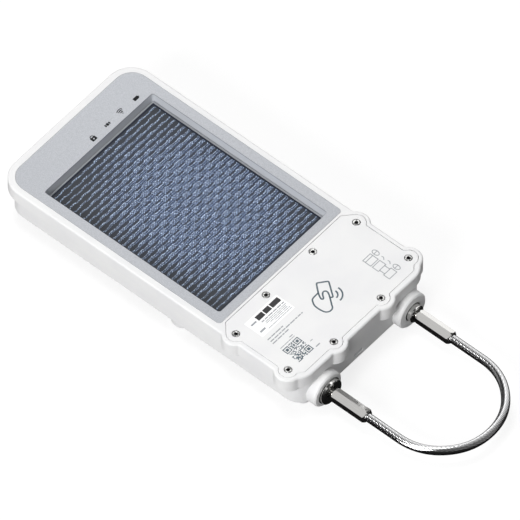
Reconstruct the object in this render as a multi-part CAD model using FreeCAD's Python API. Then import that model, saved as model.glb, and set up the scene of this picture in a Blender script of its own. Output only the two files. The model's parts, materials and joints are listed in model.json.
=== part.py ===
import FreeCAD, Part
import math
import os

# Solar-powered electronic cable lock, lying on its back with its face up.
# Millimetres. The origin is under the middle of the casing on the surface it lies on.
# +Z goes up through the face, +Y points to the head (solar panel end), and the two
# cable sockets are at the -Y end: the removable plug on -X, the fixed swivel on +X.

V = FreeCAD.Vector
UP = V(0, 0, 1)

# Casing, overall
TOP_Z = 35.0              # face of the lock
RIM_HALF = 60.8           # half width of the upper casing beside the solar panel
HEAD_Y = 122.2            # head edge of the upper casing
END_Y = -117.2            # cable-end edge of the upper casing
HEAD_R = 16.8             # plan radius of the head corners
END_R = 14.0              # plan radius of the cable-end corners, under the lobes
RIM_BAND = 9.4            # height of the upper casing's side band
LOBE_BAND = 10.7          # height of the screw lobes
LOBE_R = 8.8              # radius of the screw lobes
LOBE_BLEND = 2.5          # radius where a lobe runs into the rim
TOP_ROUND = 1.4           # round along the upper casing's top edge

# Lower casing
LOWER_INSET = 4.1         # step from the upper casing's side to the lower casing's side
LOWER_END_INSET = 0.7     # the same step at the cable end
LOWER_END_R = 12.0        # plan radius of the lower casing's cable-end corners
LOWER_Z = 6.9             # underside of the lower casing
LOWER_WALL = 3.0
LOWER_FLOOR = 2.5
LOWER_ROUND = 0.6

# Bezel and solar panel
BEZEL_HALF = 56.35
BEZEL_HEAD_Y = 117.2
BEZEL_END_Y = -51.3
BEZEL_HEAD_R = 12.0
BEZEL_END_R = 2.4
BEZEL_T = 2.4
BEZEL_GAP = 0.15
WINDOW_HALF = 49.75
WINDOW_HEAD_Y = 93.5
WINDOW_END_Y = -45.5
WINDOW_R = 1.8
WINDOW_DEPTH = 5.4        # from the bezel's face down to the panel
WINDOW_DRAFT = 0.8        # how far the window's walls lean in over that depth
SKIRT_T = 1.4             # wall of the bezel's skirt round the window, at its top
SKIRT_GAP = 0.2
PANEL_GAP = 0.3           # seam between the skirt and the panel's edge frame
PANEL_FRAME_W = 1.0
PANEL_FRAME_T = 2.2
PANEL_T = 2.0
PANEL_R = 1.2

# Status icons, inlaid in the bezel
ICON_Y = 98.3
ICON_XS = (0.3, 13.8, 26.4, 40.2)
ICON_T = 0.3
GUIDE_R = 1.5             # light guide under each icon
LED_SIZE = 1.8
LED_T = 0.9

# Cover plate
COVER_HALF = 57.4
COVER_HEAD_Y = -53.2
COVER_END_Y = -113.2
COVER_T = 3.0
COVER_GAP = 0.25
COVER_LOBE_R = 5.9        # cover outline round the four side screws
COVER_END_LOBE_R = 5.4    # cover outline round the two end screws
COVER_HEAD_CUT = 4.6      # corners cut away at the head edge
COVER_END_CUT = 7.4       # and at the cable end
COVER_BLEND = 2.0
SIDE_SCREWS = ((55.3, -63.4), (55.3, -104.5))
HEAD_SCREW = (21.5, -58.0)
END_SCREW = (21.7, -111.6)
HATCH_HALF = 49.5         # opening under the cover plate
HATCH_HEAD_Y = -63.0
HATCH_END_Y = -106.5
HATCH_R = 4.0
SEAL_MARGIN = 0.8         # land between the opening and its gasket
SEAL_W = 1.4
SEAL_T = 0.9
CASE_SEAL_MARGIN = 0.8    # land between the lower casing's side and its gasket

# Fasteners
COVER_HEAD_R = 2.35
COVER_HEAD_H = 1.7
COVER_HEAD_SINK = 0.25    # screw head below the cover's face
COUNTERBORE_GAP = 0.3
COVER_SHANK_R = 1.25
COVER_SHANK_L = 6.2
HEX_SOCKET_R = 1.35
HEX_SOCKET_DEPTH = 0.9
INSERT_R = 2.0
INSERT_L = 4.4
INSERT_BELOW = 1.0        # relief under an insert
CASE_SCREW_HEAD_R = 2.75
CASE_SCREW_HEAD_H = 1.8
CASE_SHANK_R = 1.5
CASE_SEAT_Z = 10.4        # face that the casing screws' heads pull against
CASE_COLUMN_R = 4.4
CASE_SCREWS = ((30.0, 104.0), (36.0, -56.0))
CLEAR = 0.2               # clearance round a shank or a head

# Feet
FOOT_R = 7.8
FOOT_RIM_Z = 0.5          # plastic rim above the surface, inside it the pad stands proud
MID_FOOT = (47.3, -15.3)
PAD_R = 6.2
PAD_T = 1.3
BLOCK_HALF = 50.2         # raised block under the sockets
BLOCK_END_Y = -112.6
BLOCK_HEAD_Y = -86.0
BLOCK_R = 3.85
BLOCK_PAD = (40.0, -98.5)

# Cable sockets
SOCKET_X = 38.8
SOCKET_Z = 13.3
SOCKET_FACE_Y = -122.2
SOCKET_BACK_Y = -102.0
SOCKET_R = 12.2
SOCKET_EDGE = 0.8
RING_R = 9.3              # steel guide ring in the plug socket
RING_PROUD = 0.8
RING_BACK_Y = -117.0
BARREL_R = 7.0            # steel barrel in the plug socket
BARREL_BACK_Y = -104.6
PIN_R = 4.9
PIN_CLEAR = 0.09          # running clearance round the plug's pin
PIN_TIP_Y = -106.0
PIN_TIP_CHAMFER = 1.0
GROOVE_Y = -110.5
GROOVE_W = 3.4
GROOVE_DEPTH = 1.5
FLANGE_R = 8.7
FLANGE_T = 2.3
FLANGE_LIFT = 0.1         # gap between the flange and the guide ring
FLANGE_EDGE = 0.5
SEAL_RING_BACK = 1.6
SEAL_RING_CLEAR = 0.12

# Swivel end
WASHER_R = 6.4
WASHER_PROUD = 0.2
WASHER_T = 1.8
WASHER_SEAM = 0.25
COLLAR_R = 5.95
COLLAR_PROUD = 3.7
COLLAR_LIFT = 0.15
COLLAR_EDGE = 0.6
SWIVEL_R = 4.0
SWIVEL_CLEAR = 0.05
BUSH_R = 5.6
BUSH_BACK_Y = -104.0
LIP_SEAL_L = 1.6
CLIP_R = 5.2
CLIP_INNER_R = 3.2
CLIP_T = 0.8
CLIP_LIFT = 0.1
SWIVEL_TIP_Y = -101.2

# Sleeves and rope
NECK_R = 2.9
SLEEVE_FRONT_Y = -126.5
SLEEVE_MOUTH_Y = -153.1
SLEEVE_FLATS = 8.14       # across flats
SLEEVE_CHAMFER = 1.3
SLEEVE_TURN = 0.0         # angle from X to the normal of one flat, both sleeves
ROPE_R = 2.85
ROPE_CLEAR = 0.05
ROPE_END_Y = -133.0       # end of the rope inside its sleeve
ROPE_ROUTE = (
    (38.8, -133.0), (38.8, -193.27), (16.07, -216.0),
    (-16.07, -216.0), (-38.8, -193.27), (-38.8, -133.0),
)

# Locking mechanism
GEAR_MODULE = 0.5
PINION_TEETH = 12
PRESSURE_ANGLE = 20.0
GEAR_BACKLASH = 0.12
PINION_X = -18.0
PINION_W = 2.6
BOLT_W = 2.8
BOLT_H = 4.0
BOLT_NOSE_GAP = 0.3       # from the nose to the groove's floor when locked
BOLT_TRAVEL = 2.5
BOLT_TAIL_X = -12.4
BOLT_CLEAR = 0.1
GUIDE_WALL = 1.4
RACK_FROM_X = -21.3
RACK_BASE_T = 0.475       # bar under the rack's teeth
SLOT_GAP = 0.3            # casing's slot round the bolt
SHAFT_R = 1.0
SHAFT_L = 3.0             # pinion's shaft inside the gearbox
SADDLE_W = 2.0            # walls of the motor's saddle
SADDLE_L = 6.0
MOTOR_W = 12.0
MOTOR_H = 10.0
GEARBOX_L = 9.0
MOTOR_L = 15.0
MOTOR_FRONT_Y = -108.0

# Electronics
PORT_X = -4.8             # charge port
PORT_Z = 11.6
PORT_W = 8.6
PORT_H = 3.3
PORT_SINK = 0.35
PORT_PLUG_L = 3.2
PORT_PLUG_GAP = 0.06
PORT_SHELL_W = 9.0        # steel shell of the charge socket behind the port
PORT_SHELL_L = 7.0
BOARD_T = 1.6
MAIN_BOARD = (-46.0, 46.0, 36.0, 112.0)
MAIN_BOARD_DROP = 5.6     # underside of the main board below the casing's parting line
LOCK_BOARD = (-2.0, 47.0, -97.0, -66.0)
LOCK_BOARD_Z = 14.0
BOARD_MARGIN = 4.0        # from a board's edge to its screws
POST_R = 2.6
BOARD_SCREW_R = 1.0
BOARD_SCREW_HEAD_R = 1.9
BOARD_SCREW_HEAD_H = 1.2
BOARD_SCREW_L = 5.0
POSITION_ANTENNA = (-22, -7, 101, 112)
RADIO_ANTENNA = (8, 20, 104, 108)
RADIO_MODULE = (-30, -6, 60, 84)
PROCESSOR = (8, 20, 66, 78)
CHIP_T = 1.2              # processor and radio antenna
MODULE_T = 2.6
BUZZER_AT = (30, 72)
BUZZER_R = 6.0
BUZZER_T = 3.6
SIM_HOLDER = (4, 20, -88, -74)
SIM_HOLDER_T = 2.0
TERMINAL_BLOCK = (26, 40, -92, -84)
TERMINAL_BLOCK_T = 6.0
READER_COIL = (-24, 24, -100, -70)
READER_COIL_T = 1.0
CONTACT_Y = 60.0          # contacts that carry the solar panel's current to the main board
CONTACT_R = 0.8
CONTACT_PITCH = 8.0
HEAD_CAVITY_H = 5.0       # room over the main board's head end
CAVITY_WALL = 1.5         # plastic left between that room and the outside
CAVITY_R = 7.8            # plan radius of its head corners
BATTERY = (-42.0, 42.0, -44.0, 30.0)
BATTERY_T = 8.0
BATTERY_GAP = 0.8         # between the two cells
BATTERY_R = 3.0
STRAP_W = 8.0
STRAP_T = 1.6
STRAP_YS = (-26.0, 12.0)

LABEL = (-46.8, -17.4, -77.2, -62.5)
LABEL_T = 0.2

# Heights worked out from the sizes above
BAND_Z = TOP_Z - RIM_BAND
LOBE_Z = TOP_Z - LOBE_BAND
BEZEL_Z = TOP_Z - BEZEL_T
PANEL_Z = TOP_Z - WINDOW_DEPTH
PANEL_SEAT_Z = PANEL_Z - PANEL_FRAME_T
COVER_Z = TOP_Z - COVER_T
FLOOR_Z = LOWER_Z + LOWER_FLOOR
BOLT_Y = GROOVE_Y
BOLT_FLOOR_Z = SOCKET_Z - BOLT_H / 2
PITCH_R = GEAR_MODULE * PINION_TEETH / 2
PINION_TIP = 0.9 * GEAR_MODULE
RACK_TIP = 0.7 * GEAR_MODULE
GEAR_ROOT = 1.25 * GEAR_MODULE
RACK_PITCH_Z = SOCKET_Z + BOLT_H / 2 + RACK_BASE_T + GEAR_ROOT
MAIN_BOARD_Z = BAND_Z - MAIN_BOARD_DROP
PINION_Z = RACK_PITCH_Z + PITCH_R
BOLT_NOSE_X = -SOCKET_X + PIN_R - GROOVE_DEPTH + BOLT_NOSE_GAP + BOLT_TRAVEL

parts = {}


def put(name, *solids):
    """Keep a node's solids."""
    parts[name] = list(solids)


def box(x0, x1, y0, y1, z0, z1):
    return Part.makeBox(x1 - x0, y1 - y0, z1 - z0, V(x0, y0, z0))


def post(x, y, r, z0, z1):
    """A cylinder along Z."""
    return Part.makeCylinder(r, z1 - z0, V(x, y, z0), UP)


def rod(x, z, r, y0, y1):
    """A cylinder along Y."""
    return Part.makeCylinder(r, y1 - y0, V(x, y0, z), V(0, 1, 0))


def both_sides(points):
    """Each point and its mirror image across the centre plane."""
    return [(side * x, y) for x, y in points for side in (1, -1)]


def plate_wire(x0, x1, y0, y1, z, r_head, r_end):
    """A rectangle with rounded corners: r_head at +Y, r_end at -Y."""
    corners = ((x1, y0, r_end, -90), (x1, y1, r_head, 0), (x0, y1, r_head, 90), (x0, y0, r_end, 180))
    arcs = []
    for x, y, r, start in corners:
        centre = V(x - math.copysign(r, x - (x0 + x1) / 2), y - math.copysign(r, y - (y0 + y1) / 2), z)
        arcs.append(Part.makeCircle(r, centre, UP, start, start + 90))
    edges = []
    for arc, following in zip(arcs, arcs[1:] + arcs[:1]):
        edges.append(arc)
        edges.append(Part.makeLine(arc.Vertexes[-1].Point, following.Vertexes[0].Point))
    return Part.Wire(Part.__sortEdges__(edges))


def plate(x0, x1, y0, y1, z0, z1, r_head, r_end=None):
    """A slab with rounded corners."""
    wire = plate_wire(x0, x1, y0, y1, z0, r_head, r_head if r_end is None else r_end)
    return Part.Face(wire).extrude(V(0, 0, z1 - z0))


def polygon(points, z):
    """A flat face from corners given anticlockwise."""
    corners = [V(x, y, z) for x, y in points]
    return Part.Face(Part.makePolygon(corners + corners[:1]))


def disc(x, y, r, z):
    return Part.Face(Part.Wire(Part.makeCircle(r, V(x, y, z), UP)))


def closed_outline(faces, blend):
    """One face from overlapping ones, with its inner corners rounded."""
    whole = faces[0].multiFuse(faces[1:]).removeSplitter().Faces[0]
    return whole.makeOffset2D(blend, 0, False, False, False).makeOffset2D(-blend, 0, False, False, False)


def edges_at(shape, z):
    """The edges that lie flat at one height."""
    return [e for e in shape.Edges if abs(e.BoundBox.ZMin - z) < 1e-4 and abs(e.BoundBox.ZMax - z) < 1e-4]


def edges_facing(shape, y):
    """The round edges that lie flat across Y."""
    return [e for e in shape.Edges if abs(e.BoundBox.YMin - y) < 1e-4 and abs(e.BoundBox.YMax - y) < 1e-4]


def grown(face, by):
    return face.makeOffset2D(by, 0, False, False, False)


def raised(face, z0, z1):
    """A face drawn at height 0, extruded between two heights."""
    flat = face.copy()
    flat.translate(V(0, 0, z0))
    return flat.extrude(V(0, 0, z1 - z0))


def case_outline():
    """The upper casing from above: rim and screw lobes."""
    faces = [Part.Face(plate_wire(-RIM_HALF, RIM_HALF, END_Y, HEAD_Y, 0, HEAD_R, END_R))]
    for x, y in both_sides(SIDE_SCREWS + (END_SCREW,)):
        faces.append(disc(x, y, LOBE_R, 0))
    return closed_outline(faces, LOBE_BLEND)


def lower_outline():
    x = RIM_HALF - LOWER_INSET
    wire = plate_wire(-x, x, END_Y + LOWER_END_INSET, HEAD_Y - LOWER_INSET, 0, HEAD_R - LOWER_INSET, LOWER_END_R)
    return Part.Face(wire)


def cover_outline():
    """The cover plate from above: a plate with cut corners that bulges round its screws."""
    shoulder = COVER_HALF - COVER_HEAD_CUT
    foot = COVER_HALF - COVER_END_CUT
    (side_x, head_y), (_, end_y) = SIDE_SCREWS
    lean = COVER_LOBE_R / math.sqrt(2)
    right = [(foot, COVER_END_Y), (COVER_HALF, end_y - 2.4), (COVER_HALF, head_y + lean),
             (side_x + lean, head_y + lean), (shoulder, COVER_HEAD_Y)]
    left = [(-x, y) for x, y in reversed(right)]
    faces = [polygon(right + left, 0)]
    for x, y in both_sides(SIDE_SCREWS):
        faces.append(disc(x, y, COVER_LOBE_R, 0))
    for x, y in both_sides((END_SCREW,)):
        faces.append(disc(x, y, COVER_END_LOBE_R, 0))
    return closed_outline(faces, COVER_BLEND)


def cover_screw_points():
    return both_sides(SIDE_SCREWS + (HEAD_SCREW, END_SCREW))


def drafted_window(z_top, z_bottom, grow=0.0):
    """The bezel's window as a solid, narrower at its foot."""
    slope = WINDOW_DRAFT / WINDOW_DEPTH
    wires = []
    for z in (z_top, z_bottom):
        lean = slope * (TOP_Z - z) - grow
        wires.append(plate_wire(
            -WINDOW_HALF + lean, WINDOW_HALF - lean, WINDOW_END_Y + lean, WINDOW_HEAD_Y - lean, z,
            max(WINDOW_R - lean / 2, 0.6), max(WINDOW_R - lean / 2, 0.6)))
    return Part.makeLoft(wires, True, True)


def make_upper_casing():
    body = raised(case_outline(), BAND_Z, TOP_Z)
    body = body.makeFillet(TOP_ROUND, edges_at(body, TOP_Z))
    keep_off = raised(grown(lower_outline(), CLEAR), LOBE_Z, BAND_Z)
    for x, y in both_sides(SIDE_SCREWS + (END_SCREW,)):
        body = body.fuse(post(x, y, LOBE_R, LOBE_Z, BAND_Z + 1).cut(keep_off))
    cuts = [
        plate(-BEZEL_HALF - BEZEL_GAP, BEZEL_HALF + BEZEL_GAP, BEZEL_END_Y - BEZEL_GAP, BEZEL_HEAD_Y + BEZEL_GAP,
              BEZEL_Z, TOP_Z + 1, BEZEL_HEAD_R + BEZEL_GAP, BEZEL_END_R + BEZEL_GAP),
        panel_pocket(PANEL_SEAT_Z, TOP_Z),
        raised(grown(cover_outline(), COVER_GAP), COVER_Z, TOP_Z + 1),
        plate(-HATCH_HALF, HATCH_HALF, HATCH_END_Y, HATCH_HEAD_Y, BAND_Z - 1, COVER_Z + 1, HATCH_R),
        seal_ring(COVER_Z - SEAL_T, COVER_Z + 1),
    ]
    for x, y in cover_screw_points():
        cuts.append(post(x, y, INSERT_R, COVER_Z - INSERT_L, COVER_Z + 1))
        cuts.append(post(x, y, COVER_SHANK_R + CLEAR, COVER_Z - INSERT_L - INSERT_BELOW, COVER_Z))
    cuts.append(head_cavity())
    for x in ICON_XS:
        cuts.append(post(x, ICON_Y, GUIDE_R, BAND_Z, BEZEL_Z + 1))
    for x, y in both_sides(CASE_SCREWS):
        cuts.append(post(x, y, INSERT_R, BAND_Z - 1, BAND_Z + INSERT_L))
    for x in contact_xs():
        cuts.append(post(x, CONTACT_Y, CONTACT_R + CLEAR, BAND_Z - 1, PANEL_SEAT_Z + 1))
    put("upper_casing", body.cut(cuts))


def contact_xs():
    return (-CONTACT_PITCH / 2, CONTACT_PITCH / 2)


def head_cavity():
    """Room over the main board's aerials, round the casing screws' bosses."""
    inset = LOWER_INSET + LOWER_WALL + CAVITY_WALL
    x = RIM_HALF - inset
    y0 = WINDOW_HEAD_Y + SKIRT_T + SKIRT_GAP + CAVITY_WALL + 0.1
    z1 = BAND_Z + HEAD_CAVITY_H
    cavity = plate(-x, x, y0, HEAD_Y - inset, BAND_Z - 1, z1, CAVITY_R, 2.0)
    bosses = [post(x, y, CASE_COLUMN_R, BAND_Z - 1, z1) for x, y in both_sides(CASE_SCREWS[:1])]
    return cavity.cut(bosses)


def panel_pocket(z0, z1):
    grow = SKIRT_T + SKIRT_GAP
    return plate(-WINDOW_HALF - grow, WINDOW_HALF + grow, WINDOW_END_Y - grow, WINDOW_HEAD_Y + grow,
                 z0, z1, WINDOW_R + grow)


def seal_ring(z0, z1):
    """The gasket's shape round the opening under the cover."""
    def ring(by):
        return plate(-HATCH_HALF - by, HATCH_HALF + by, HATCH_END_Y - by, HATCH_HEAD_Y + by, z0, z1, HATCH_R + by)
    return ring(SEAL_MARGIN + SEAL_W).cut(ring(SEAL_MARGIN))


def icon_shapes(z0, z1):
    """Padlock, satellite, signal fan and battery, each about 4.5 mm across."""
    lock_x, sat_x, fan_x, cell_x = ICON_XS
    y = ICON_Y
    shackle = post(lock_x, y + 0.5, 1.5, z0, z1).cut(post(lock_x, y + 0.5, 0.95, z0, z1))
    shackle = shackle.common(box(lock_x - 2, lock_x + 2, y + 0.4, y + 2.5, z0, z1))
    lock = plate(lock_x - 2.0, lock_x + 2.0, y - 2.3, y + 0.6, z0, z1, 0.3).fuse(shackle)
    lock = lock.cut(post(lock_x, y - 0.9, 0.5, z0, z1))
    wing = 1.7
    satellite = plate(sat_x - 0.8, sat_x + 0.8, y - 1.1, y + 1.1, z0, z1, 0.35)
    satellite = satellite.fuse(box(sat_x - 1.5, sat_x + 1.5, y - 0.2, y + 0.2, z0, z1))
    for side in (1, -1):
        x = sat_x + side * wing
        satellite = satellite.fuse(box(x - 0.5, x + 0.5, y - 0.9, y + 0.9, z0, z1))
    tip = V(fan_x, y - 1.9, 0)
    fan = []
    wedge = polygon(((tip.x, tip.y), (tip.x + 3.1, tip.y + 4.6), (tip.x - 3.1, tip.y + 4.6)), z0)
    wedge = wedge.extrude(V(0, 0, z1 - z0))
    for inner, outer in ((0.0, 0.9), (1.4, 2.1), (2.6, 3.3), (3.8, 4.4)):
        band = post(tip.x, tip.y, outer, z0, z1)
        if inner:
            band = band.cut(post(tip.x, tip.y, inner, z0, z1))
        fan.append(band.common(wedge))
    cell = plate(cell_x - 2.2, cell_x + 1.8, y - 1.2, y + 1.2, z0, z1, 0.3)
    cell = cell.fuse(box(cell_x + 1.7, cell_x + 2.3, y - 0.5, y + 0.5, z0, z1))
    return [lock, satellite] + fan + [cell]


def make_bezel():
    flange = plate(-BEZEL_HALF, BEZEL_HALF, BEZEL_END_Y, BEZEL_HEAD_Y, BEZEL_Z, TOP_Z, BEZEL_HEAD_R, BEZEL_END_R)
    skirt = plate(-WINDOW_HALF - SKIRT_T, WINDOW_HALF + SKIRT_T, WINDOW_END_Y - SKIRT_T, WINDOW_HEAD_Y + SKIRT_T,
                  PANEL_SEAT_Z, BEZEL_Z + 0.5, WINDOW_R + SKIRT_T)
    icons = icon_shapes(TOP_Z - ICON_T, TOP_Z)
    bezel = flange.fuse(skirt).cut([drafted_window(TOP_Z + 1, PANEL_SEAT_Z - 1)] + icons)
    put("silver_bezel", bezel.removeSplitter())
    put("status_icons", *icons)


def panel_box(inset):
    """The solar panel's limits inside the skirt, as x, y0, y1."""
    lean = WINDOW_DRAFT * (TOP_Z - PANEL_SEAT_Z) / WINDOW_DEPTH + PANEL_GAP + inset
    return WINDOW_HALF - lean, WINDOW_END_Y + lean, WINDOW_HEAD_Y - lean


def make_solar_panel():
    x, y0, y1 = panel_box(0)
    frame = plate(-x, x, y0, y1, PANEL_SEAT_Z, PANEL_Z, PANEL_R)
    x, y0, y1 = panel_box(PANEL_FRAME_W)
    put("panel_frame", frame.cut(plate(-x, x, y0, y1, PANEL_SEAT_Z, PANEL_Z, 0.3)))
    put("solar_panel", plate(-x, x, y0, y1, PANEL_SEAT_Z, PANEL_SEAT_Z + PANEL_T, 0.3))


def make_light_guides():
    guides = [post(x, ICON_Y, GUIDE_R, MAIN_BOARD_Z + BOARD_T + LED_T + 0.2, BEZEL_Z) for x in ICON_XS]
    put("light_guides", *guides)
    half = LED_SIZE / 2
    z = MAIN_BOARD_Z + BOARD_T
    put("status_leds", *[box(x - half, x + half, ICON_Y - half, ICON_Y + half, z, z + LED_T) for x in ICON_XS])


def hex_prism(x, z, across_flats, y0, y1, turn):
    """A hexagonal bar along Y, with one flat's normal at `turn` degrees from X."""
    r = across_flats / math.sqrt(3)
    points = []
    for k in range(6):
        a = math.radians(turn + 30 + 60 * k)
        points.append(V(x + r * math.cos(a), y0, z + r * math.sin(a)))
    return Part.Face(Part.makePolygon(points + points[:1])).extrude(V(0, y1 - y0, 0))


def hex_socket(x, y, r, z0, z1):
    points = [V(x + r * math.cos(math.radians(60 * k)), y + r * math.sin(math.radians(60 * k)), z0) for k in range(6)]
    return Part.Face(Part.makePolygon(points + points[:1])).extrude(V(0, 0, z1 - z0))


def make_cover():
    cover = raised(cover_outline(), COVER_Z, TOP_Z)
    cover = cover.makeFillet(0.3, edges_at(cover, TOP_Z))
    bore_r = COVER_HEAD_R + COUNTERBORE_GAP
    seat_z = TOP_Z - COVER_HEAD_SINK - COVER_HEAD_H
    cuts = []
    screws = []
    inserts = []
    for x, y in cover_screw_points():
        cuts.append(post(x, y, bore_r, seat_z, TOP_Z + 1))
        cuts.append(post(x, y, COVER_SHANK_R + CLEAR, COVER_Z - 1, TOP_Z))
        head = post(x, y, COVER_HEAD_R, seat_z, seat_z + COVER_HEAD_H)
        head = head.makeFillet(0.35, edges_at(head, seat_z + COVER_HEAD_H))
        socket = hex_socket(x, y, HEX_SOCKET_R, seat_z + COVER_HEAD_H - HEX_SOCKET_DEPTH, TOP_Z)
        shank = post(x, y, COVER_SHANK_R, seat_z - COVER_SHANK_L, seat_z)
        screws.append(head.cut(socket).fuse(shank))
        insert = post(x, y, INSERT_R, COVER_Z - INSERT_L, COVER_Z)
        inserts.append(insert.cut(post(x, y, COVER_SHANK_R, COVER_Z - INSERT_L, COVER_Z)))
    x0, x1, y0, y1 = LABEL
    cuts.append(box(x0, x1, y0, y1, TOP_Z - LABEL_T, TOP_Z + 1))
    put("cover_plate", cover.cut(cuts))
    put("cover_screws", *screws)
    put("cover_inserts", *inserts)
    put("label", box(x0, x1, y0, y1, TOP_Z - LABEL_T, TOP_Z))
    put("cover_gasket", seal_ring(COVER_Z - SEAL_T, COVER_Z))
    put("reader_coil_board", plate(*READER_COIL, COVER_Z - READER_COIL_T, COVER_Z, 2.0))


def socket_cylinder(x):
    body = rod(x, SOCKET_Z, SOCKET_R, SOCKET_FACE_Y, SOCKET_BACK_Y)
    return body.makeChamfer(SOCKET_EDGE, edges_facing(body, SOCKET_FACE_Y))


def case_gasket_ring(z0, z1):
    outline = lower_outline()
    outer = raised(grown(outline, -CASE_SEAL_MARGIN), z0, z1)
    return outer.cut(raised(grown(outline, -CASE_SEAL_MARGIN - SEAL_W), z0, z1))


def make_lower_casing():
    outline = lower_outline()
    shell = raised(outline, LOWER_Z, BAND_Z)
    shell = shell.makeFillet(LOWER_ROUND, edges_at(shell, LOWER_Z))
    shell = shell.cut(raised(grown(outline, -LOWER_WALL), FLOOR_Z, BAND_Z + 1))
    block = plate(-BLOCK_HALF, BLOCK_HALF, BLOCK_END_Y, BLOCK_HEAD_Y, FOOT_RIM_Z, LOWER_Z + 0.5, BLOCK_R)
    adds = [block.makeChamfer(0.5, edges_at(block, FOOT_RIM_Z))]
    for x, y in both_sides((MID_FOOT, CASE_SCREWS[0])):
        foot = post(x, y, FOOT_R, FOOT_RIM_Z, LOWER_Z + 0.5)
        adds.append(foot.makeChamfer(0.6, edges_at(foot, FOOT_RIM_Z)))
    for x, y in both_sides(CASE_SCREWS):
        adds.append(post(x, y, CASE_COLUMN_R, LOWER_Z + 0.5, BAND_Z))
    adds += [socket_cylinder(x) for x in (-SOCKET_X, SOCKET_X)]
    for x, y in board_posts(MAIN_BOARD):
        adds.append(post(x, y, POST_R, FLOOR_Z - 0.5, MAIN_BOARD_Z))
    for x, y in board_posts(LOCK_BOARD):
        adds.append(post(x, y, POST_R, FLOOR_Z - 0.5, LOCK_BOARD_Z))
    for x, y in strap_posts():
        adds.append(post(x, y, POST_R, FLOOR_Z - 0.5, FLOOR_Z + BATTERY_T))
    shell = shell.fuse(adds)
    cuts = [case_gasket_ring(BAND_Z - SEAL_T, BAND_Z + 1)]
    for x, y in both_sides((MID_FOOT, CASE_SCREWS[0], BLOCK_PAD)):
        cuts.append(post(x, y, PAD_R, FOOT_RIM_Z - 1, PAD_T))
    for x, y in both_sides(CASE_SCREWS):
        cuts.append(post(x, y, CASE_SCREW_HEAD_R + CLEAR, FOOT_RIM_Z - 1, CASE_SEAT_Z))
        cuts.append(post(x, y, CASE_SHANK_R + CLEAR, CASE_SEAT_Z - 1, BAND_Z + 1))
    cuts += plug_socket_cuts() + swivel_socket_cuts()
    cuts.append(port_shape(PORT_W, PORT_H, END_Y - 1, END_Y + LOWER_END_INSET + LOWER_WALL + 1))
    for x, y in board_posts(MAIN_BOARD) + board_posts(LOCK_BOARD) + strap_posts():
        cuts.append(post(x, y, BOARD_SCREW_R, FLOOR_Z + 1, BAND_Z))
    put("lower_casing", shell.cut(cuts).removeSplitter())


def board_posts(limits):
    x0, x1, y0, y1 = limits
    m = BOARD_MARGIN
    return [(x, y) for x in (x0 + m, x1 - m) for y in (y0 + m, y1 - m)]


def strap_posts():
    reach = BATTERY[1] + POST_R + 0.6
    return [(x, y) for x in (-reach, reach) for y in STRAP_YS]


def plug_socket_cuts():
    x = -SOCKET_X
    return [
        rod(x, SOCKET_Z, RING_R, SOCKET_FACE_Y - 1, RING_BACK_Y),
        rod(x, SOCKET_Z, BARREL_R, RING_BACK_Y - 1, BARREL_BACK_Y),
        rod(x, SOCKET_Z, PIN_R + 0.6, BARREL_BACK_Y - 1, SOCKET_BACK_Y - 1),
        box(x + 4, x + SOCKET_R + 1, BOLT_Y - BOLT_W / 2 - SLOT_GAP, BOLT_Y + BOLT_W / 2 + SLOT_GAP,
            BOLT_FLOOR_Z - SLOT_GAP, RACK_PITCH_Z + RACK_TIP + SLOT_GAP),
    ]


def swivel_socket_cuts():
    x = SOCKET_X
    return [
        rod(x, SOCKET_Z, WASHER_R + WASHER_SEAM, SOCKET_FACE_Y - 1, SOCKET_FACE_Y - WASHER_PROUD + WASHER_T),
        rod(x, SOCKET_Z, BUSH_R, SOCKET_FACE_Y, SOCKET_BACK_Y + 1),
    ]


def make_feet():
    pads = [post(x, y, PAD_R, 0, PAD_T) for x, y in both_sides((MID_FOOT, CASE_SCREWS[0], BLOCK_PAD))]
    put("foot_pads", *pads)


def make_case_fasteners():
    screws = []
    inserts = []
    for x, y in both_sides(CASE_SCREWS):
        head = post(x, y, CASE_SCREW_HEAD_R, CASE_SEAT_Z - CASE_SCREW_HEAD_H, CASE_SEAT_Z)
        socket = hex_socket(x, y, HEX_SOCKET_R, CASE_SEAT_Z - CASE_SCREW_HEAD_H, CASE_SEAT_Z - HEX_SOCKET_DEPTH)
        screws.append(head.cut(socket).fuse(post(x, y, CASE_SHANK_R, CASE_SEAT_Z, BAND_Z + INSERT_L - 0.4)))
        insert = post(x, y, INSERT_R, BAND_Z, BAND_Z + INSERT_L)
        inserts.append(insert.cut(post(x, y, CASE_SHANK_R, BAND_Z, BAND_Z + INSERT_L)))
    put("casing_screws", *screws)
    put("casing_inserts", *inserts)
    put("casing_gasket", case_gasket_ring(BAND_Z - SEAL_T, BAND_Z))


def turned(x, profile):
    """A turned piece about a socket's axis: profile is (y, r) pairs, with r = 0 at both ends."""
    points = [V(x + r, y, SOCKET_Z) for y, r in profile]
    face = Part.Face(Part.makePolygon(points + points[:1]))
    return face.revolve(V(x, 0, SOCKET_Z), V(0, 1, 0), 360)


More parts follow.
